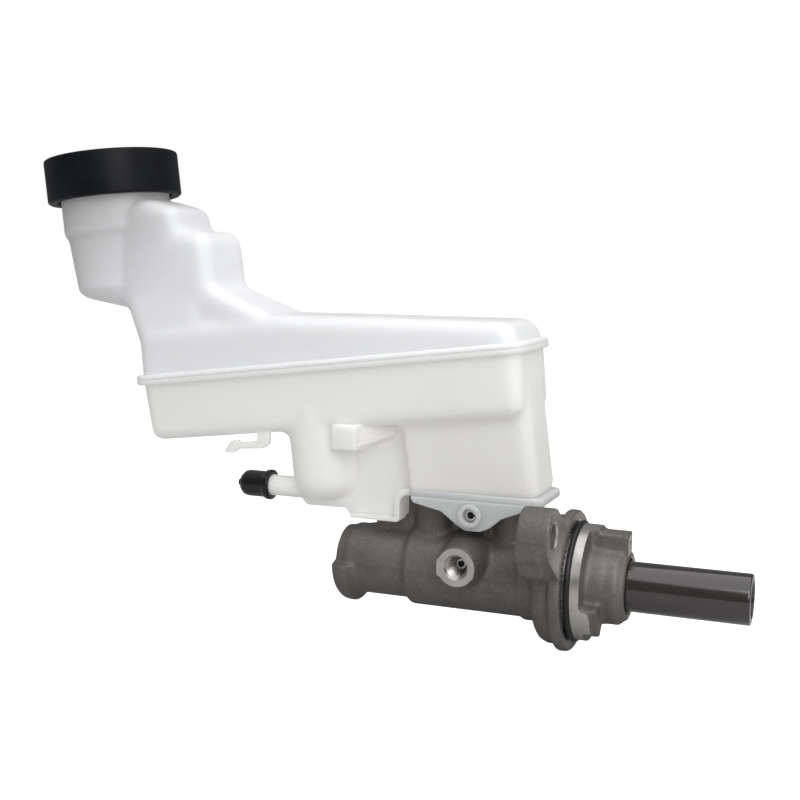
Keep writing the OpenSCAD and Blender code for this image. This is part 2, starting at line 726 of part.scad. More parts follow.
cylinder_housing();
flange_o_ring();
port_seats();
passage_ball();
primary_piston();
secondary_piston();
primary_spring();
secondary_spring();
cage_sleeve();
cage_bolt();
secondary_spring_seat();
primary_cup();
secondary_cup();
separator_cup();
rear_cup();
piston_guide();
retaining_ring();
reservoir_grommets();
reservoir_pin();
reservoir_lower_shell();
reservoir_upper_shell();
tray_baffles();
filler_strainer();
level_float();
float_magnet();
reed_switch();
switch_terminals();
filler_cap();
cap_slip_washer();
cap_diaphragm();
nipple_cap();
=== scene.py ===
"""Looks of the brake master cylinder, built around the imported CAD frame.

Lengths are millimetres in the row frame: +X along the bore to the booster, +Z up, origin on
the bore axis in the mounting face. The reservoir has its own frame, tilted about Y: u along
the weld seam, v = Y, w up from the seam.
"""
import math

import bmesh
import bpy
from mathutils import Matrix, Vector


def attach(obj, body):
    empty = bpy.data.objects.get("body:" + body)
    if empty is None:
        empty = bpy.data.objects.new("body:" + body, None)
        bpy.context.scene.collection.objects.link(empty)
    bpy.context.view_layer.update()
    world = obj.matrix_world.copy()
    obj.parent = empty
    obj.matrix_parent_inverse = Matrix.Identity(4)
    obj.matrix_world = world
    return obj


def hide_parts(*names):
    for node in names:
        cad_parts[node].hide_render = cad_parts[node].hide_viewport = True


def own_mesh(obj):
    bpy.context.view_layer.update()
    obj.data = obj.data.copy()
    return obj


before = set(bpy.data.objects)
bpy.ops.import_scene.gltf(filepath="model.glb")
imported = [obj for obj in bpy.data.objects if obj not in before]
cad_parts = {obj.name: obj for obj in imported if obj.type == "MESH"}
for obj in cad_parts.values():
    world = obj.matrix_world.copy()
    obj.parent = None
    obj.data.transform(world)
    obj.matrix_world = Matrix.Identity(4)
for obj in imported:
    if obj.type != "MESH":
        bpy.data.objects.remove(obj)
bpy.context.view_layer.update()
MM = 0.001

# ---------- driving dimensions ----------
PISTON_R = 11.11
PISTON_FRONT = -36.0
PISTON_REAR = 76.8
BORE_R = 11.15
SPIGOT_R = 26.0
SPIGOT_LEN = 7.6
LUG_LEN = 11.8
EAR_R = 12.0
NEAR_STUD = (-40.7, 28.3)
FAR_STUD = (48.9, -7.0)
STUD_HOLE_R = 5.5
PORT_1 = (-47.0, 7.5)
PORT_2 = (-97.0, 3.0)
PORT_FACE = 29.5
INLETS = (-28.5, -66.0)
SADDLE_Z = 34.2
PIN_X, PIN_Z, PIN_R = -44.0, 29.2, 2.4
PLATE_Z = 34.5

TILT = math.radians(7.0)
SEAM = Vector((-124.4, 0.0, 92.6))
WALL = 2.2
TRAY_U = (-90.5, 102.4)
TRAY_DEPTH = 30.0
BOX_U = (42.0, 103.0)
BOX_HALF = 17.0
CHAMBER_U, CHAMBER_Y, CHAMBER_R, CHAMBER_W = -1.0, -9.0, 16.0, -64.5
CAP_U, CAP_W, CAP_R, CAP_H = -108.0, 91.1, 33.1, 21.6
NECK_R, NECK_TOP = 25.0, 107.5
NIPPLE_Y, NIPPLE_Z, NIPPLE_R = -10.0, 33.2, 5.0
PLATE_TOP = 38.5
PLATE_FRONT = -76.5
SPRING_R, WIRE_R = 7.4, 0.8

FLOOR_TOP = -31.9
LENS = 54.676
CAMERA_PLACE = (123.4, -524.7, 141.6)
CAMERA_ANGLES = (21.77, 83.45, 0.77)


def res_matrix():
    """Reservoir frame to row frame."""
    return Matrix.Translation(SEAM) @ Matrix.Rotation(-TILT, 4, "Y")


RES = res_matrix()
X_AXIS = Matrix.Rotation(math.radians(90), 4, "Y")


# ---------- mesh helpers ----------

def link(mesh, name):
    obj = bpy.data.objects.new(name, mesh)
    bpy.context.scene.collection.objects.link(obj)
    return obj


def mesh_object(name, verts, faces, matrix=None):
    """A mesh object from points in mm, moved by matrix and scaled to metres."""
    matrix = matrix or Matrix.Identity(4)
    mesh = bpy.data.meshes.new(name)
    mesh.from_pydata([(matrix @ Vector(p)) * MM for p in verts], [], faces)
    mesh.validate()
    bm = bmesh.new()
    bm.from_mesh(mesh)
    bmesh.ops.recalc_face_normals(bm, faces=bm.faces)
    bm.to_mesh(mesh)
    bm.free()
    return link(mesh, name)


def fillet(points, radius, steps=4):
    """Rounds every corner of a closed outline with arcs of up to radius."""
    out = []
    count = len(points)
    for i, here in enumerate(points):
        p = Vector(here[:2])
        r = here[2] if len(here) > 2 else radius
        before = Vector(points[i - 1][:2]) - p
        after = Vector(points[(i + 1) % count][:2]) - p
        if r <= 0 or before.length < 1e-6 or after.length < 1e-6:
            out.append(tuple(p))
            continue
        half = before.angle(after) / 2
        if half > math.radians(88) or half < math.radians(2):
            out.append(tuple(p))
            continue
        cut = min(r / math.tan(half), 0.48 * before.length, 0.48 * after.length)
        a = p + before.normalized() * cut
        b = p + after.normalized() * cut
        for k in range(steps + 1):
            t = k / steps
            out.append(tuple(a * (1 - t) ** 2 + p * 2 * t * (1 - t) + b * t ** 2))
    return out


def lathe(name, profile, matrix=None, segments=128, round_to=0.3):
    """Turns a closed outline of (radius, height) points about the local Z axis."""
    outline = fillet(profile, round_to)
    verts, rings = [], []
    for r, z in outline:
        if r < 1e-4:
            rings.append([len(verts)])
            verts.append((0, 0, z))
            continue
        rings.append(list(range(len(verts), len(verts) + segments)))
        for k in range(segments):
            a = 2 * math.pi * k / segments
            verts.append((r * math.cos(a), r * math.sin(a), z))
    faces = []
    for i, ring in enumerate(rings):
        other = rings[(i + 1) % len(rings)]
        if len(ring) == 1 and len(other) == 1:
            continue
        for k in range(segments):
            n = (k + 1) % segments
            if len(ring) == 1:
                faces.append((ring[0], other[n], other[k]))
            elif len(other) == 1:
                faces.append((ring[k], ring[n], other[0]))
            else:
                faces.append((ring[k], ring[n], other[n], other[k]))
    return mesh_object(name, verts, faces, matrix)


def lathe_x(name, profile, centre=(0, 0), segments=128, round_to=0.3):
    """Turns an outline of (station along X, radius) points about a line along X."""
    turned = [(p[1], p[0]) + tuple(p[2:]) for p in profile]
    place = Matrix.Translation((0, centre[0], centre[1])) @ X_AXIS
    return lathe(name, turned, place, segments, round_to)


def prism(name, outline, depth, matrix=None, round_to=0.0):
    """An outline in the local XY plane, extruded from 0 to depth along Z."""
    points = fillet(outline, round_to, 6) if round_to else [p[:2] for p in outline]
    n = len(points)
    verts = [(x, y, 0) for x, y in points] + [(x, y, depth) for x, y in points]
    faces = [tuple(range(n))[::-1], tuple(range(n, 2 * n))]
    faces += [(i, (i + 1) % n, n + (i + 1) % n, n + i) for i in range(n)]
    return mesh_object(name, verts, faces, matrix)


def block(name, low, high, matrix=None):
    (a, b, c), (d, e, f) = low, high
    return prism(name, [(a, b), (d, b), (d, e), (a, e)], f - c,
                 (matrix or Matrix.Identity(4)) @ Matrix.Translation((0, 0, c)))


def side_plate(name, outline, y0, y1, round_to=0.0):
    """An outline in the X-Z plane with thickness from y0 to y1."""
    turn = Matrix(((1, 0, 0, 0), (0, 0, 1, y0), (0, 1, 0, 0), (0, 0, 0, 1)))
    return prism(name, outline, y1 - y0, turn, round_to)


def rod(name, start, end, r, segments=96):
    """A closed cylinder between two points in mm."""
    a, b = Vector(start), Vector(end)
    turn = (b - a).to_track_quat("Z", "Y").to_matrix().to_4x4()
    length = (b - a).length
    return lathe(name, [(0, 0), (r, 0), (r, length), (0, length)],
                 Matrix.Translation(a) @ turn, segments, 0)


def hull(name, balls, matrix=None, detail=2):
    """The convex hull of balls, each given as (x, y, z, radius)."""
    ball = bmesh.new()
    bmesh.ops.create_icosphere(ball, subdivisions=detail, radius=1)
    unit = [v.co.copy() for v in ball.verts]
    ball.free()
    bm = bmesh.new()
    for x, y, z, r in balls:
        for p in unit:
            bm.verts.new(p * r + Vector((x, y, z)))
    bmesh.ops.convex_hull(bm, input=bm.verts[:])
    bmesh.ops.delete(bm, geom=[v for v in bm.verts if not v.link_faces], context="VERTS")
    bmesh.ops.transform(bm, matrix=Matrix.Scale(MM, 4) @ (matrix or Matrix.Identity(4)),
                        verts=bm.verts)
    bmesh.ops.recalc_face_normals(bm, faces=bm.faces)
    mesh = bpy.data.meshes.new(name)
    bm.to_mesh(mesh)
    bm.free()
    return link(mesh, name)


def paired(balls):
    """Mirrors balls across the v = 0 plane."""
    return [b for x, y, z, r in balls for b in ((x, y, z, r), (x, -y, z, r))]


def join(name, parts):
    """One object out of several closed meshes, left overlapping."""
    bm = bmesh.new()
    for p in parts:
        bm.from_mesh(p.data)
    mesh = bpy.data.meshes.new(name)
    bm.to_mesh(mesh)
    bm.free()
    for p in parts:
        drop(p)
    return link(mesh, name)


def drop(obj):
    mesh = obj.data
    bpy.data.objects.remove(obj)
    bpy.data.meshes.remove(mesh)


def apply_modifiers(obj):
    graph = bpy.context.evaluated_depsgraph_get()
    old = obj.data
    mesh = bpy.data.meshes.new_from_object(obj.evaluated_get(graph), depsgraph=graph)
    obj.modifiers.clear()
    obj.data = mesh
    bpy.data.meshes.remove(old)
    return obj


def remesh(obj, voxel):
    m = obj.modifiers.new("remesh", "REMESH")
    m.mode = "VOXEL"
    m.voxel_size = voxel * MM
    m.adaptivity = 0
    return apply_modifiers(obj)


def swell(obj, distance):
    m = obj.modifiers.new("swell", "DISPLACE")
    m.strength = distance * MM
    m.mid_level = 0
    return apply_modifiers(obj)


def relax(obj, passes):
    m = obj.modifiers.new("relax", "SMOOTH")
    m.factor = 0.5
    m.iterations = passes
    return apply_modifiers(obj)


def cast(obj, voxel, blend, passes):
    """Welds overlapping solids into one skin, fills inside corners, softens edges."""
    remesh(obj, voxel)
    swell(obj, blend)
    remesh(obj, voxel)
    swell(obj, -blend)
    remesh(obj, voxel)
    return relax(obj, passes)


def boolean(obj, other, operation):
    m = obj.modifiers.new("boolean", "BOOLEAN")
    m.operation = operation
    m.solver = "MANIFOLD"
    m.object = other
    m.material_mode = "TRANSFER"
    apply_modifiers(obj)
    drop(other)
    return obj


def shade(obj, angle=35):
    """Smooth shading that keeps edges sharper than angle."""
    mesh = obj.data
    mesh.polygons.foreach_set("use_smooth", [True] * len(mesh.polygons))
    mesh.set_sharp_from_angle(angle=math.radians(angle))
    return obj


def finish_piece(obj, body, nodes, materials, angle=35):
    """Gives a piece its materials and body, and hides the CAD nodes that it stands for."""
    if not any(obj.data.materials):
        obj.data.materials.clear()
        for m in materials:
            obj.data.materials.append(m)
    shade(obj, angle)
    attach(obj, body)
    if nodes:
        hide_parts(*nodes)
    return obj


# ---------- materials ----------

def shader(name, color, roughness, metallic=0.0, **sockets):
    mat = bpy.data.materials.new(name)
    mat.use_nodes = True
    bsdf = mat.node_tree.nodes["Principled BSDF"]
    bsdf.inputs["Base Color"].default_value = (*color, 1)
    bsdf.inputs["Roughness"].default_value = roughness
    bsdf.inputs["Metallic"].default_value = metallic
    for key, value in sockets.items():
        bsdf.inputs[key.replace("_", " ")].default_value = value
    return mat, mat.node_tree, bsdf


def coordinates(tree, scale=(1, 1, 1)):
    tc = tree.nodes.new("ShaderNodeTexCoord")
    mapping = tree.nodes.new("ShaderNodeMapping")
    mapping.inputs["Scale"].default_value = scale
    tree.links.new(tc.outputs["Object"], mapping.inputs["Vector"])
    return mapping.outputs["Vector"]


def noise(tree, vector, scale, detail=4.0, rough=0.6):
    n = tree.nodes.new("ShaderNodeTexNoise")
    n.inputs["Scale"].default_value = scale
    n.inputs["Detail"].default_value = detail
    n.inputs["Roughness"].default_value = rough
    tree.links.new(vector, n.inputs["Vector"])
    return n.outputs["Fac"]


def ramp(tree, value, stops):
    r = tree.nodes.new("ShaderNodeValToRGB")
    elements = r.color_ramp.elements
    while len(elements) < len(stops):
        elements.new(0.5)
    for e, (pos, color) in zip(elements, stops):
        e.position = pos
        e.color = (*color, 1)
    tree.links.new(value, r.inputs["Fac"])
    return r.outputs["Color"]


def spread(tree, value, low, high):
    m = tree.nodes.new("ShaderNodeMapRange")
    m.inputs["From Min"].default_value = 0.3
    m.inputs["From Max"].default_value = 0.7
    m.inputs["To Min"].default_value = low
    m.inputs["To Max"].default_value = high
    tree.links.new(value, m.inputs["Value"])
    return m.outputs["Result"]


def bump(tree, bsdf, heights):
    """Chains bumps, each (height output, strength, distance in mm)."""
    normal = None
    for height, strength, distance in heights:
        b = tree.nodes.new("ShaderNodeBump")
        b.inputs["Strength"].default_value = strength
        b.inputs["Distance"].default_value = distance * MM
        tree.links.new(height, b.inputs["Height"])
        if normal:
            tree.links.new(normal, b.inputs["Normal"])
        normal = b.outputs["Normal"]
    tree.links.new(normal, bsdf.inputs["Normal"])


def cast_metal():
    mat, tree, bsdf = shader("cast_aluminium", (0.17, 0.16, 0.15), 0.5, 0.6)
    at = coordinates(tree)
    mottle = noise(tree, at, 55, 5)
    grain = noise(tree, at, 1300, 3, 0.7)
    pits = noise(tree, at, 420, 4, 0.65)
    color = ramp(tree, mottle, [(0.3, (0.155, 0.146, 0.139)), (0.55, (0.19, 0.18, 0.172)),
                                (0.75, (0.23, 0.218, 0.209))])
    speckle = ramp(tree, grain, [(0.35, (0.72, 0.72, 0.72)), (0.6, (1.08, 1.08, 1.08))])
    mix = tree.nodes.new("ShaderNodeMix")
    mix.data_type = "RGBA"
    mix.blend_type = "MULTIPLY"
    mix.inputs["Factor"].default_value = 0.85
    tree.links.new(color, mix.inputs["A"])
    tree.links.new(speckle, mix.inputs["B"])
    tree.links.new(mix.outputs["Result"], bsdf.inputs["Base Color"])
    tree.links.new(spread(tree, pits, 0.48, 0.66), bsdf.inputs["Roughness"])
    bump(tree, bsdf, [(pits, 0.35, 0.25), (grain, 0.4, 0.10)])
    return mat


def machined_metal(name, tint, rough):
    mat, tree, bsdf = shader(name, tint, rough, 1.0)
    at = coordinates(tree)
    fine = noise(tree, coordinates(tree, (14, 1, 1)), 420, 3)
    blotch = noise(tree, at, 90, 3)
    dark = tuple(c * 0.85 for c in tint)
    tree.links.new(ramp(tree, blotch, [(0.3, dark), (0.7, tint)]), bsdf.inputs["Base Color"])
    tree.links.new(spread(tree, fine, rough - 0.08, rough + 0.1), bsdf.inputs["Roughness"])
    bump(tree, bsdf, [(fine, 0.25, 0.05)])
    return mat


def piston_metal():
    mat, tree, bsdf = shader("dark_anodised", (0.014, 0.009, 0.008), 0.16, 0.0,
                             Coat_Weight=0.5, Coat_Roughness=0.1, IOR=1.7)
    lines = noise(tree, coordinates(tree, (40, 1, 1)), 260, 3)
    blotch = noise(tree, coordinates(tree), 70, 4)
    tree.links.new(ramp(tree, blotch, [(0.35, (0.011, 0.007, 0.006)), (0.7, (0.019, 0.0125, 0.011))]),
                   bsdf.inputs["Base Color"])
    tree.links.new(spread(tree, lines, 0.12, 0.22), bsdf.inputs["Roughness"])
    bump(tree, bsdf, [(lines, 0.12, 0.03)])
    return mat


def rubber(name, color, roughness):
    mat, tree, bsdf = shader(name, color, roughness)
    at = coordinates(tree)
    dust = noise(tree, at, 160, 5)
    skin = noise(tree, at, 900, 3)
    light = tuple(min(1, c * 1.7 + 0.004) for c in color)
    tree.links.new(ramp(tree, dust, [(0.4, color), (0.75, light)]), bsdf.inputs["Base Color"])
    tree.links.new(spread(tree, skin, roughness - 0.06, roughness + 0.08), bsdf.inputs["Roughness"])
    bump(tree, bsdf, [(skin, 0.2, 0.04)])
    return mat


def cap_plastic():
    mat, tree, bsdf = shader("cap_plastic", (0.006, 0.0065, 0.009), 0.45, IOR=1.26)
    at = coordinates(tree)
    cloud = noise(tree, at, 38, 5, 0.65)
    skin = noise(tree, at, 700, 3)
    tree.links.new(ramp(tree, cloud, [(0.35, (0.0035, 0.004, 0.0055)), (0.7, (0.009, 0.0105, 0.014))]),
                   bsdf.inputs["Base Color"])
    tree.links.new(spread(tree, cloud, 0.38, 0.56), bsdf.inputs["Roughness"])
    bump(tree, bsdf, [(skin, 0.15, 0.05), (cloud, 0.1, 0.2)])
    return mat


def paint_shade_near(tree, color, centre, near, far, dimmed):
    """Painted shade: dims a colour around a point, for the shadow that falls there and the dark parts seen
    through the thin milky plastic.
    """
    tc = tree.nodes.new("ShaderNodeTexCoord")
    reach = tree.nodes.new("ShaderNodeVectorMath")
    reach.operation = "DISTANCE"
    reach.inputs[1].default_value = tuple(c * MM for c in centre)
    tree.links.new(tc.outputs["Object"], reach.inputs[0])
    level = tree.nodes.new("ShaderNodeMapRange")
    level.inputs["From Min"].default_value = near * MM
    level.inputs["From Max"].default_value = far * MM
    level.inputs["To Min"].default_value = dimmed
    tree.links.new(reach.outputs["Value"], level.inputs["Value"])
    scaled = tree.nodes.new("ShaderNodeVectorMath")
    scaled.operation = "SCALE"
    tree.links.new(color, scaled.inputs[0])
    tree.links.new(level.outputs["Result"], scaled.inputs["Scale"])
    return scaled.outputs["Vector"]


def milky_plastic(name, tint, painted_glow, centre, near, far, dimmed):
    """Milky plastic with painted shade, dimmed to a share of its tint within near of centre and untouched
    past far, and a painted glow of emission in its tint.
    """
    mat, tree, bsdf = shader(name, tint, 0.36, 0.0,
                             Subsurface_Weight=0.8, Subsurface_Scale=0.007, IOR=1.45,
                             Emission_Strength=painted_glow)
    # Painted light: the emission lifts the shade, in place of light scattered inside the plastic.
    bsdf.inputs["Emission Color"].default_value = (*tint, 1)
    bsdf.inputs["Subsurface Radius"].default_value = (1.0, 0.94, 0.88)
    cloud = noise(tree, coordinates(tree), 22, 4)
    skin = noise(tree, coordinates(tree), 620, 3)
    dark = tuple(c * 0.975 for c in tint)
    clouded = ramp(tree, cloud, [(0.3, dark), (0.7, tint)])
    tree.links.new(paint_shade_near(tree, clouded, centre, near, far, dimmed), bsdf.inputs["Base Color"])
    tree.links.new(spread(tree, cloud, 0.3, 0.42), bsdf.inputs["Roughness"])
    bump(tree, bsdf, [(skin, 0.06, 0.05)])
    return mat


def plain_plastic():
    mat, tree, bsdf = shader("natural_pom", (0.78, 0.77, 0.72), 0.4, 0.0,
                             Subsurface_Weight=0.3, Subsurface_Scale=0.002)
    skin = noise(tree, coordinates(tree), 500, 3)
    tree.links.new(ramp(tree, skin, [(0.3, (0.74, 0.73, 0.68)), (0.7, (0.8, 0.79, 0.74))]),
                   bsdf.inputs["Base Color"])
    bump(tree, bsdf, [(skin, 0.1, 0.05)])
    return mat


def steel(name, color, roughness):
    mat, tree, bsdf = shader(name, color, roughness, 1.0)
    fine = noise(tree, coordinates(tree, (1, 6, 6)), 500, 3)
    dark = tuple(c * 0.85 for c in color)
    tree.links.new(ramp(tree, fine, [(0.3, dark), (0.7, color)]), bsdf.inputs["Base Color"])
    tree.links.new(spread(tree, fine, roughness - 0.06, roughness + 0.1), bsdf.inputs["Roughness"])
    bump(tree, bsdf, [(fine, 0.15, 0.04)])
    return mat


CAST = cast_metal()
MACHINED = machined_metal("machined_aluminium", (0.6, 0.585, 0.56), 0.32)
FACED = machined_metal("faced_aluminium", (0.42, 0.41, 0.395), 0.45)
PISTON = piston_metal()
SEAL = rubber("seal_rubber", (0.004, 0.004, 0.0045), 0.35)
PLUG = rubber("plug_rubber", (0.003, 0.003, 0.0035), 0.25)
CAP = cap_plastic()
# Painted shade centres: below the cap on the upper plastic, on the saddle on the lower plastic; the glow
# values are painted light.
UNDER_CAP = RES @ Vector((CAP_U, 0, CAP_W))
ON_SADDLE = (-45, 0, PLATE_Z)
MILKY_UPPER = milky_plastic("milky_plastic_cool", (0.84, 0.84, 0.855), 0.07, UNDER_CAP, 25, 62, 0.62)
MILKY_LOWER = milky_plastic("milky_plastic_warm", (0.86, 0.85, 0.825), 0.11, ON_SADDLE, 22, 66, 0.8)
MILKY_SHADED_BASE = milky_plastic("milky_plastic_shaded_base", (0.56, 0.57, 0.575), 0.04, ON_SADDLE, 0, 60, 0.96)
POM = plain_plastic()
STEEL = steel("bright_steel", (0.6, 0.59, 0.57), 0.28)
SPRING = steel("spring_wire", (0.32, 0.31, 0.3), 0.35)
BRASS = steel("terminal_brass", (0.66, 0.5, 0.24), 0.3)
FERRITE = steel("ferrite", (0.12, 0.115, 0.115), 0.6)


# ---------- cast cylinder ----------

def ear_stock(name, stud, x0, x1):
    """Slot-shaped ear from the bore axis to past the stud, between two stations."""
    angle = math.atan2(stud[1], stud[0])
    reach = math.hypot(*stud)
    along = Vector((math.cos(angle), math.sin(angle)))
    side = Vector((-along.y, along.x))
    points = [side * -EAR_R, along * reach + side * -EAR_R]
    for k in range(1, 16):
        a = -math.pi / 2 + math.pi * k / 16
        points.append(along * reach + (along * math.cos(a) + side * math.sin(a)) * EAR_R)
    points += [along * reach + side * EAR_R, side * EAR_R]
    turn = Matrix(((0, 0, 1, x0), (1, 0, 0, 0), (0, 1, 0, 0), (0, 0, 0, 1)))
    return prism(name, [tuple(p) for p in points], x1 - x0, turn)


def across(name, outline, x0, x1):
    """An outline in the Y-Z plane, extruded along X."""
    turn = Matrix(((0, 0, 1, x0), (1, 0, 0, 0), (0, 1, 0, 0), (0, 0, 0, 1)))
    return prism(name, outline, x1 - x0, turn)


def plugs():
    """Solids that fill the machined holes, so the casting can be softened whole."""
    parts = [lathe_x("p", [(-112, 0), (-112, 15.2), (24.3, 15.2), (24.3, 0)], round_to=0)]
    parts += [lathe_x("p", [(-2, 0), (-2, 30), (0.7, 30), (0.7, 0)], round_to=0)]
    parts += [lathe_x("p", [(-2, 0), (-2, SPIGOT_R + 0.6), (SPIGOT_LEN, SPIGOT_R + 0.6),
                            (SPIGOT_LEN, 0)], round_to=0)]
    for (x, z), side in ((PORT_1, -1), (PORT_2, 1)):
        parts.append(rod("p", (x, 0, z), (x, side * (PORT_FACE + 0.7), z), 8.6))
        y = sorted((side * 16, side * (PORT_FACE + 0.7)))
        parts.append(block("p", (x - 9.2, y[0], z - 4.5), (x + 8.4, y[1], z + 2.9)))
    for x in INLETS:
        parts.append(rod("p", (x, 0, 5), (x, 0, SADDLE_Z + 0.6), 10.4))
    parts.append(rod("p", (PIN_X, -7.9, PIN_Z), (PIN_X, 7.9, PIN_Z), 4.5))
    for stud in (NEAR_STUD, FAR_STUD):
        parts.append(ear_stock("p", stud, -13.3, 0.7))
    # Turning stock on the fin and on the lower lug
    parts.append(across("p", [(-6.5, 12), (4, 12), (4, SPIGOT_R + 0.4), (-6.5, SPIGOT_R + 0.1)],
                        5, LUG_LEN))
    parts.append(hull("p", [(x, y, z, 0.8) for x in (6, LUG_LEN - 0.9) for y, z in
                            ((-14, -5.6), (-24.4, -7.6), (-23.2, -12), (-18.6, -18.2), (-10, -14))]))
    parts.append(rod("p", (12, -1, 18.9), (24.6, -1, 18.9), 3))
    return parts


def cast_details():
    """Ribs, pads and draft that only the real casting shows."""
    parts = []
    # Step of the near ear below its parting line
    parts.append(hull("p", [(x, y, z, 1.0) for x in (-13.2, -4)
                            for y, z in ((-51.9, 26), (-51.2, 20), (-44, 12), (-34, 26), (-34, 8))]))
    # Root of the near ear on the barrel
    parts.append(hull("p", [(-17, -15, 12, 3), (-17, -16, 3, 3), (-10, -30, 18, 3), (-10, -28, 6, 3),
                            (-8, -14, 4, 4)]))
    return parts


def parting_ridge():
    """Thin flash left along the mould's parting line."""
    parts = []
    for x0, x1, r in ((-100.5, -78.5, 16.8), (-75.5, -22.5, 19.25), (-22, -14.6, 20.4)):
        parts.append(block("p", (x0, -r, -0.3), (x1, r, 0.3)))
    parts.append(block("p", (-14.4, -52.95, 26.6), (-2, -47, 27.2)))
    return parts


def machining():
    """Everything the cutters take away from the casting."""
    cuts = []
    b = BORE_R
    face = lathe_x("c", [(0, 60), (0, 27.8), (LUG_LEN, 27.8), (LUG_LEN, 60)], round_to=0)
    face.data.materials.append(FACED)
    cuts.append(face)
    cuts.append(lathe_x("c", [(-110, 0), (-110, 4), (-108, b), (-80, b), (-80, 14.4), (-76, 14.4),
                              (-76, b), (-75, b), (-75, 13), (-71, 13), (-71, b), (-69, b),
                              (-69, 14.4), (-65, 14.4), (-65, b), (-35, b), (-35, 14.4), (-31, 14.4),
                              (-31, b), (-30, b), (-30, 13), (-26, 13), (-26, b), (6, b), (6, 14.4),
                              (10, 14.4), (10, b), (12.5, b), (12.5, 12.7), (19.6, 12.7),
                              (19.6, 13.7), (21, 13.7), (21, 12.7), (23.8, 12.7), (25.5, 14.2),
                              (25.5, 0)], round_to=0))
    # Spigot and O-ring groove in one turning cut
    cuts.append(lathe_x("c", [(0.5, 27.8), (-0.2, 27.8), (-0.2, 24), (3.4, 24), (3.4, SPIGOT_R),
                              (LUG_LEN, SPIGOT_R), (LUG_LEN, 29), (0.5, 29)], round_to=0,
                        segments=192))
    for stud in (NEAR_STUD, FAR_STUD):
        h = STUD_HOLE_R
        cuts.append(lathe_x("c", [(-30, 0), (-30, h), (-0.8, h), (0.3, h + 1.1), (0.3, 0)],
                            centre=stud, round_to=0, segments=96))
    for (x, z), side in ((PORT_1, -1), (PORT_2, 1)):
        turn = Matrix.Translation((x, 0, z)) @ Matrix.Rotation(math.radians(-90 * side), 4, "X")
        f = PORT_FACE
        cuts.append(lathe("c", [(0, 6), (1.5, 6), (1.5, f - 12), (4.95, f - 12), (4.95, f - 0.9),
                                (5.7, f), (12, f), (12, f + 3), (0, f + 3)], turn, 96, 0))
    for x, feed in zip(INLETS, (-28.5, -72.0)):
        place = Matrix.Translation((x, 0, 0))
        cuts.append(lathe("c", [(0, 24), (7.6, 24), (7.6, 32.6), (9, 32.6), (9, SADDLE_Z),
                                (13, SADDLE_Z), (13, 37), (0, 37)], place, 96, 0))
        cuts.append(rod("c", (feed, 0, 9), (feed, 0, 24.5), 1.4, 32))
    cuts.append(rod("c", (PIN_X, -12, PIN_Z), (PIN_X, 12, PIN_Z), PIN_R + 0.03, 48))
    # Rear face of the top fin and its cross drilling
    cuts.append(block("c", (24.2, -9, 14.6), (26, 8, 30)))
    cuts.append(rod("c", (13, -1, 18.9), (24.5, -1, 18.9), 2.0, 48))
    return cuts


def casting():
    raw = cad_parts["cylinder_housing"].data.copy()
    raw.materials.clear()
    skin = link(raw, "casting_skin")
    body = join("cast_body", [skin] + plugs() + cast_details())
    cast(body, 0.6, 0.9, 3)
    for ridge in parting_ridge():
        boolean(body, ridge, "UNION")
    body.data.materials.clear()
    body.data.materials.append(CAST)
    for cutter in machining():
        if not cutter.data.materials:
            cutter.data.materials.append(MACHINED)
        boolean(body, cutter, "DIFFERENCE")
    return finish_piece(body, "housing", ["cylinder_housing"], [CAST], 30)


# ---------- reservoir ----------

def upper_balls(g):
    """The blocks of the upper shell, drawn in by g."""
    deck = [(-82.4, 17, 0, 8.1), (94.3, 17, 0, 8.1), (-82, 17, 19, 8), (-13, 17, 17, 8),
            (34, 17, 11.4, 8), (93.2, 17, 4.2, 8)]
    foot = [(-54, 14, 20, 6.5), (-53.6, 14, 38, 6), (-49, 14.5, 29.5, 6.5), (-22, 16.5, 19.8, 7),
            (-36, 15.5, 25, 6.8), (-22, 16.5, 10, 7)]
    lower = [(-55.3, 12.8, 61.3, 7.8), (-54, 14, 18, 7), (-84, 13.5, 20, 7.5), (-92, 12.8, 62, 7),
             (-68, 12.8, 63.9, 7)]
    upper = [(-70.4, 12.6, 76.2, 7), (-69.2, 13.6, 40, 6.6), (-81, 12.6, 80.8, 6.6),
             (-104, 12.6, 80.8, 6.6), (-90, 12, 40, 8), (-98, 10, 44, 8)]
    wall = [(-90, 12.5, 39, 8), (-82.2, 16, 17, 8), (-60, 13, 40, 8), (-60, 16, 15, 8)]
    groups = (deck, foot, lower, upper, wall)
    return [[(x, y, z, r - g) for x, y, z, r in paired(group)] for group in groups]


def neck_parts(g, top):
    r = NECK_R - g
    bottom = [(CAP_U + 16.5 * math.cos(a), 16.5 * math.sin(a), 49.0, 6.6 - g)
              for a in (2 * math.pi * k / 24 for k in range(24))]
    bottom += [(-99, 8, 43.5, 8 - g), (-99, -8, 43.5, 8 - g), (-106, 0, 45, 8 - g),
               (-113, 7, 47.5, 8 - g), (-113, -7, 47.5, 8 - g)]
    tube = lathe("p", [(0, 47), (r - 1.9, 47), (r, 72.4), (r + 1.8, 75.4), (r + 1.8, top), (0, top)],
                 RES @ Matrix.Translation((CAP_U, 0, 0)), 128, 0)
    return [hull("p", bottom, RES, 2), tube]


def seam_slab(w, r):
    """Half of the weld flange: a plate with a rounded edge, centred at height w."""
    balls = []
    corner = 10 - r
    for cu, su in ((TRAY_U[0] + 7, -1), (TRAY_U[1] - 7.6, 1)):
        for sv in (-1, 1):
            for k in range(7):
                a = math.radians(15 * k)
                balls.append((cu + su * corner * math.cos(a), sv * (18 + corner * math.sin(a)), w, r))
    return hull("p", balls, RES)


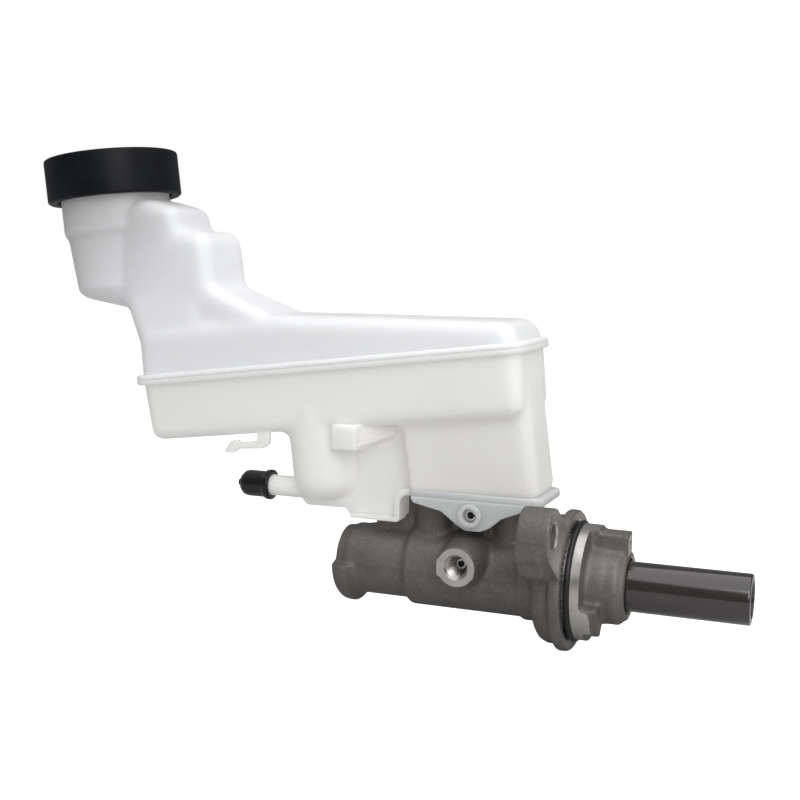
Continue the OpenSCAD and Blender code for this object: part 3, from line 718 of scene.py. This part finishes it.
def upper_shell():
    outer = cast(join("reservoir_upper", [hull("p", group, RES, 3) for group in upper_balls(0)]),
                 1.1, 3.2, 6)
    outer = cast(join("reservoir_upper", [outer] + neck_parts(0, NECK_TOP + 1.5)), 0.8, 1.2, 3)
    boolean(outer, seam_slab(1.0, 1.5), "UNION")
    inner = join("core", [hull("p", group, RES, 3) for group in upper_balls(WALL)]
                 + neck_parts(WALL, NECK_TOP + 8))
    remesh(inner, 1.2)
    relax(inner, 6)
    boolean(outer, inner, "DIFFERENCE")
    boolean(outer, block("c", (-150, -60, -40), (130, 60, 0.0), RES), "DIFFERENCE")
    boolean(outer, block("c", (-150, -60, NECK_TOP), (-70, 60, NECK_TOP + 20), RES), "DIFFERENCE")
    return finish_piece(outer, "housing", ["reservoir_upper_shell"],
                        [MILKY_UPPER], 40)


def lower_balls(g):
    bottom = -TRAY_DEPTH + 5.6
    u0, u1 = BOX_U
    tray = [(-82.5, 17, 0, 8), (94.4, 17, 0, 8), (-82.6, 18.6, bottom, 5.6), (95.9, 18.6, bottom, 5.6)]
    box = [(u0 + 3, BOX_HALF - 3, -14, 3), (u1 - 6.8, BOX_HALF - 6, -14, 6),
           (u0 + 3.4, BOX_HALF - 3, -59.5 + g, 3), (u1 - 6, BOX_HALF - 6, -63 + g, 6)]
    return [[(x, y, z, r - g) for x, y, z, r in paired(group)] for group in (tray, box)]


def chamber(g):
    r, w = CHAMBER_R - g, CHAMBER_W + g
    return lathe("p", [(0, -18), (r, -18), (r, w + 12), (r - 0.8, w + 8), (r - 2.6, w + 5),
                       (r - 5.5, w + 2.5), (r - 9, w + 0.8), (r - 13, w), (0, w)],
                 RES @ Matrix.Translation((CHAMBER_U, CHAMBER_Y, 0)), 96, 1.5)


def tab_outline():
    return [(-73, PLATE_Z + 1), (-71.5, 32.8), (-58, 30), (-51, 24.8), (-46.5, 22.2), (-39.5, 22.2),
            (-34.8, 24.3), (-30, 28.6), (-21, 32.4), (-14, PLATE_Z + 1)]


def lower_fittings():
    """Plate, tabs, bracket, hook, switch block and nipple, each a closed solid."""
    parts = []
    turns = [2 * math.pi * k / 24 for k in range(24)]
    parts.append(hull("p", [(x + 4 * math.cos(a), y + 4 * math.sin(a), z, 1.0) for a in turns
                            for x in (-70.4, -16.8) for y in (-13, 13) for z in (35.5, 37.5)]))
    for s in (-1, 1):
        y = sorted((s * 17.0, s * 19.3))
        parts.append(side_plate("p", tab_outline(), y[0], y[1], round_to=2.5))
        parts.append(rod("p", (PIN_X, s * 17, PIN_Z), (PIN_X, s * 21.4, PIN_Z), 5.2, 64))
    for x in INLETS:
        parts.append(rod("p", (x, 0, 26), (x, 0, 36), 4.95, 64))
    # Web and rim of the bracket between chamber and feed box
    web = [(-134, 60), (-134, 29), (-130, 24.8), (-111.5, 24.8), (-109.8, 25.2), (-106.8, 21.6),
           (-80.7, 21.6), (-80.7, 35.4), (-74, 35.4), (-74, 70), (-118, 66)]
    parts.append(side_plate("p", web, -8.8, -7.0, round_to=1.5))
    rim = [(-105.8, 21.5), (-80.6, 21.5, 2), (-80.6, 33.2, 4.5), (-74.6, 35.4), (-74.6, 37.4),
           (-80, 37, 5), (-82.5, 34.4, 5), (-82.5, 23.2, 1.5), (-105.0, 23.2)]
    parts.append(side_plate("p", rim, -13.0, -4.3, round_to=0.5))
    back = [(-80.6, 23.2), (-80.6, 33.2, 4.5), (-74.6, 35.4), (-74.6, 37.4), (-80, 37, 5), (-82.5, 34.4, 5),
            (-82.5, 23.2)]
    parts.append(side_plate("p", back, -5.3, 1.7, round_to=0.3))
    hook = [(-150, 63), (-144, 63.5), (-144, 54.6, 2.5), (-147.5, 52.4, 2), (-160, 51.4), (-163.5, 49.2),
            (-168, 49.4), (-164.4, 55), (-160.6, 55.6), (-160.4, 54.4), (-150, 55.6, 1.5)]
    parts.append(side_plate("p", hook, -21.6, -18.6, round_to=0.6))
    parts.append(hull("p", [(x, y, z, 1.1) for x in (-107.9, -98.1) for y in (-25.9, -17.1)
                            for z in (56.5, 66.0)]))
    arm = [(-20, 55.4), (-20, 66.4), (9, 66.4), (9, 57.4), (5, 55.4)]
    parts.append(across("p", fillet(arm, 0.6), -108.9, -97.1))
    wedge = [(-98.4, -23.6, 57), (-98.4, -23.6, 66.6), (-98.4, -9, 57), (-98.4, -9, 66.6),
             (-85, -10, 62), (-85, -9, 67)]
    parts.append(hull("p", [(x, y, z, 0.8) for x, y, z in wedge]))
    parts.append(rod("p", (-160, NIPPLE_Y, NIPPLE_Z), (-123, NIPPLE_Y, NIPPLE_Z), NIPPLE_R, 64))
    return parts


def lower_hollows():
    cuts = [rod("c", (-161, NIPPLE_Y, NIPPLE_Z), (-127, NIPPLE_Y, NIPPLE_Z), 2.6, 48)]
    cuts += [rod("c", (x, 0, 20), (x, 0, 45), 3.2, 48) for x in INLETS]
    cuts.append(rod("c", (PIN_X, -30, PIN_Z), (PIN_X, 30, PIN_Z), PIN_R + 0.03, 48))
    for s in (-1, 1):
        cuts.append(rod("c", (PIN_X, s * 17.8, PIN_Z), (PIN_X, s * 25, PIN_Z), 3.2, 48))
    cuts.append(block("c", (-107.5, -25.5, 54), (-98.5, -18, 64.9)))
    cuts.append(rod("c", (-103.5, -19.8, 60.7), (-103.5, 4.2, 60.7), 2.3, 48))
    return cuts


def lower_shell():
    parts = [hull("p", group, RES, 3) for group in lower_balls(0)] + [chamber(0)]
    outer = cast(join("reservoir_lower", parts), 1.1, 2.5, 4)
    boolean(outer, seam_slab(-1.0, 1.5), "UNION")
    for part in lower_fittings():
        boolean(outer, part, "UNION")
    inner = join("core", [hull("p", group, RES, 3) for group in lower_balls(WALL)] + [chamber(WALL)])
    remesh(inner, 1.2)
    divider = block("c", (72, -30, -80), (74, 30, -10), RES)
    boolean(inner, divider, "DIFFERENCE")
    boolean(outer, inner, "DIFFERENCE")
    boolean(outer, block("c", (-150, -60, 0.0), (130, 60, 40), RES), "DIFFERENCE")
    for cut in lower_hollows():
        boolean(outer, cut, "DIFFERENCE")
    finish_piece(outer, "housing", ["reservoir_lower_shell"],
                 [MILKY_LOWER, MILKY_SHADED_BASE], 40)
    # Painted shade: the solid plate and tabs lie on the dark casting, so they get a darker copy of the
    # milky plastic than the thin walls
    for face in outer.data.polygons:
        x, _, z = face.center / MM
        face.material_index = 1 if x > PLATE_FRONT and z < PLATE_TOP + 0.02 else 0
    return outer


# ---------- turned and moulded small pieces ----------

def piston():
    p, r = PISTON_FRONT, PISTON_R
    profile = [(p, 8.6), (p, r, 0.5), (PISTON_REAR, r, 1.0), (PISTON_REAR, 8.4, 0.4),
               (PISTON_REAR - 1.2, 7.5), (43.5, 7.5, 2), (40, 4, 3), (39, 0), (-8, 0), (-8, 8.6)]
    obj = lathe_x("primary_piston_turned", profile, segments=160, round_to=0.1)
    return finish_piece(obj, "primary_piston_group", ["primary_piston"], [PISTON])


def o_ring():
    ring = [(25.7 + 1.45 * math.cos(a), 1.9 + 1.45 * math.sin(a))
            for a in (2 * math.pi * k / 32 for k in range(32))]
    obj = lathe("flange_seal", ring, X_AXIS, 192, 0)
    return finish_piece(obj, "housing", ["flange_o_ring"], [SEAL])


def filler_cap():
    inner = 28.4
    profile = [(0, CAP_H - 1.9), (13, CAP_H - 1.9), (14.2, CAP_H - 0.7), (16, CAP_H - 0.7),
               (17.2, CAP_H - 1.9), (26, CAP_H - 1.9), (28.6, CAP_H, 0.8), (CAP_R, CAP_H, 1.3),
               (CAP_R, 0.9, 0.5), (CAP_R - 0.9, 0, 0.5), (inner + 0.8, 0, 0.3),
               (inner, 0.8), (inner, CAP_H - 4, 0.5), (inner - 1.5, 20.0), (0, 20.0)]
    obj = lathe("filler_cap_moulded", profile, RES @ Matrix.Translation((CAP_U, 0, CAP_W)), 192, 0.25)
    return finish_piece(obj, "cap", ["filler_cap"], [CAP])


def nipple_plug():
    tip = -165.8
    profile = [(tip, 0), (tip, 1.7, 0.5), (tip + 1.2, 2.0, 0.4), (tip + 2.2, 4.2, 1.2), (tip + 4, 5.9, 1.5),
               (tip + 6, 6.3), (-151.4, 6.3, 1.0), (-150, 7.2, 0.8), (-147.9, 7.3, 0.6), (-147.5, 6.4, 0.3),
               (-147.5, 5.05), (-160.3, 5.05), (-160.3, 0)]
    obj = lathe_x("blanking_cap", profile, (NIPPLE_Y, NIPPLE_Z), 96, 0.15)
    return finish_piece(obj, "nipple_plug", ["nipple_cap"], [PLUG])


def port_thread():
    """Internal M10 x 1 threads as two helical sleeves."""
    turns, pitch, segs = 10, 1.0, 48
    verts, faces = [], []
    for (x, z), side in ((PORT_1, -1), (PORT_2, 1)):
        base = len(verts)
        rows = turns * segs
        for i in range(rows + 1):
            a = 2 * math.pi * i / segs
            y = PORT_FACE - 11.6 + pitch * i / segs
            for dr, dy in ((4.93, 0.0), (4.5, 0.38), (4.5, 0.5), (4.93, 0.88)):
                verts.append((x + dr * math.cos(a), side * (y + dy), z + dr * math.sin(a)))
        for i in range(rows):
            p, q = base + 4 * i, base + 4 * (i + 1)
            for k in range(3):
                faces.append((p + k, p + k + 1, q + k + 1, q + k))
            faces.append((p + 3, p, q, q + 3))
        faces.append((base, base + 1, base + 2, base + 3))
        end = base + 4 * rows
        faces.append((end + 3, end + 2, end + 1, end))
    obj = mesh_object("port_threads", verts, faces)
    return finish_piece(obj, "housing", [], [MACHINED])


def coil(name, node, x0, x1, turns, body):
    """A compression spring with closed ends, as a swept wire."""
    sides, steps = 16, 48 * turns
    span = x1 - x0 - 2 * WIRE_R
    verts, faces = [], []
    for i in range(steps + 1):
        t = i / steps
        a = 2 * math.pi * turns * t
        cx = x0 + WIRE_R + span * (t - math.sin(2 * math.pi * t) / 7.2)
        for k in range(sides):
            b = 2 * math.pi * k / sides
            rr = SPRING_R + WIRE_R * math.cos(b)
            verts.append((cx + WIRE_R * math.sin(b), rr * math.cos(a), rr * math.sin(a)))
    for i in range(steps):
        for k in range(sides):
            n = (k + 1) % sides
            faces.append((i * sides + k, i * sides + n, (i + 1) * sides + n, (i + 1) * sides + k))
    faces.append(tuple(range(sides)))
    faces.append(tuple(steps * sides + k for k in range(sides))[::-1])
    obj = mesh_object(name, verts, faces)
    finish_piece(obj, body, [node], [SPRING])
    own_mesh(obj)
    return obj


def carried_over():
    """CAD nodes whose own shape is right: better materials only."""
    looks = {"port_seats": STEEL, "passage_ball": STEEL, "secondary_piston": PISTON,
             "cage_sleeve": STEEL, "cage_bolt": STEEL, "secondary_spring_seat": POM,
             "primary_cup": SEAL, "secondary_cup": SEAL, "separator_cup": SEAL, "rear_cup": SEAL,
             "piston_guide": POM, "retaining_ring": STEEL, "reservoir_grommets": SEAL,
             "reservoir_pin": STEEL, "tray_baffles": MILKY_LOWER, "filler_strainer": POM,
             "level_float": POM, "float_magnet": FERRITE, "reed_switch": CAP,
             "switch_terminals": BRASS, "cap_slip_washer": POM, "cap_diaphragm": SEAL}
    for name, mat in looks.items():
        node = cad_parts[name]
        node.data.materials.clear()
        node.data.materials.append(mat)


# ---------- stage ----------

def world_light(strength, mirrored):
    """White surroundings, dimmer as a light than they look behind the object."""
    world = bpy.data.worlds.new("studio")
    bpy.context.scene.world = world
    world.use_nodes = True
    tree = world.node_tree
    back = tree.nodes["Background"]
    back.inputs["Color"].default_value = (1, 1, 1, 1)
    path = tree.nodes.new("ShaderNodeLightPath")
    soft = tree.nodes.new("ShaderNodeMapRange")
    soft.inputs["To Min"].default_value = strength
    soft.inputs["To Max"].default_value = mirrored
    tree.links.new(path.outputs["Is Glossy Ray"], soft.inputs["Value"])
    level = tree.nodes.new("ShaderNodeMapRange")
    level.inputs["To Max"].default_value = 1.0
    tree.links.new(soft.outputs["Result"], level.inputs["To Min"])
    tree.links.new(path.outputs["Is Camera Ray"], level.inputs["Value"])
    tree.links.new(level.outputs["Result"], back.inputs["Strength"])


def area(name, place, aim, size, power):
    light = bpy.data.lights.new(name, "AREA")
    light.shape = "RECTANGLE"
    light.size, light.size_y = size
    light.energy = power
    lamp = bpy.data.objects.new(name, light)
    lamp.location = place
    lamp.rotation_euler = (Vector(aim) - Vector(place)).to_track_quat("-Z", "Y").to_euler()
    bpy.context.scene.collection.objects.link(lamp)


def studio():
    bpy.context.scene.view_settings.view_transform = "Standard"
    world_light(0.4, 0.22)
    floor = prism("floor", [(-9000, -9000), (9000, -9000), (9000, 9000), (-9000, 9000)], 1,
                  Matrix.Translation((0, 0, FLOOR_TOP - 1)))
    mat, tree, bsdf = shader("paper_floor", (0.55, 0.55, 0.55), 0.9)
    bsdf.inputs["Emission Color"].default_value = (1, 1, 1, 1)
    tree.links.new(tree.nodes.new("ShaderNodeLightPath").outputs["Is Camera Ray"],
                   bsdf.inputs["Emission Strength"])
    floor.data.materials.append(mat)
    middle = (-0.08, 0, 0.06)
    area("overhead_softbox", (0.05, -0.1, 1.0), middle, (1.6, 1.2), 7.6)
    area("key_softbox", (0.5, -0.75, 0.6), middle, (0.7, 0.7), 5.0)
    area("right_softbox", (1.0, 0.15, 0.45), middle, (0.8, 0.8), 1.1)


def camera():
    """The main view: from the near side, a little to the right and above."""
    cam = bpy.data.cameras.new("camera")
    cam.sensor_width = 36.0
    cam.lens = LENS
    cam.clip_end = 50
    obj = bpy.data.objects.new("camera", cam)
    turn, tilt, roll = (math.radians(a) for a in CAMERA_ANGLES)
    facing = (Matrix.Rotation(turn, 4, "Z") @ Matrix.Rotation(tilt, 4, "X")
              @ Matrix.Rotation(roll, 4, "Z"))
    obj.matrix_world = Matrix.Translation(Vector(CAMERA_PLACE) * MM) @ facing
    bpy.context.scene.collection.objects.link(obj)
    bpy.context.scene.camera = obj


camera()
studio()
carried_over()
casting()
upper_shell()
lower_shell()
piston()
o_ring()
filler_cap()
nipple_plug()
port_thread()
coil("primary_coil", "primary_spring", -51.0, -9.0, 7, "primary_piston_group")
coil("secondary_coil", "secondary_spring", -105.5, -62.0, 8, "housing")
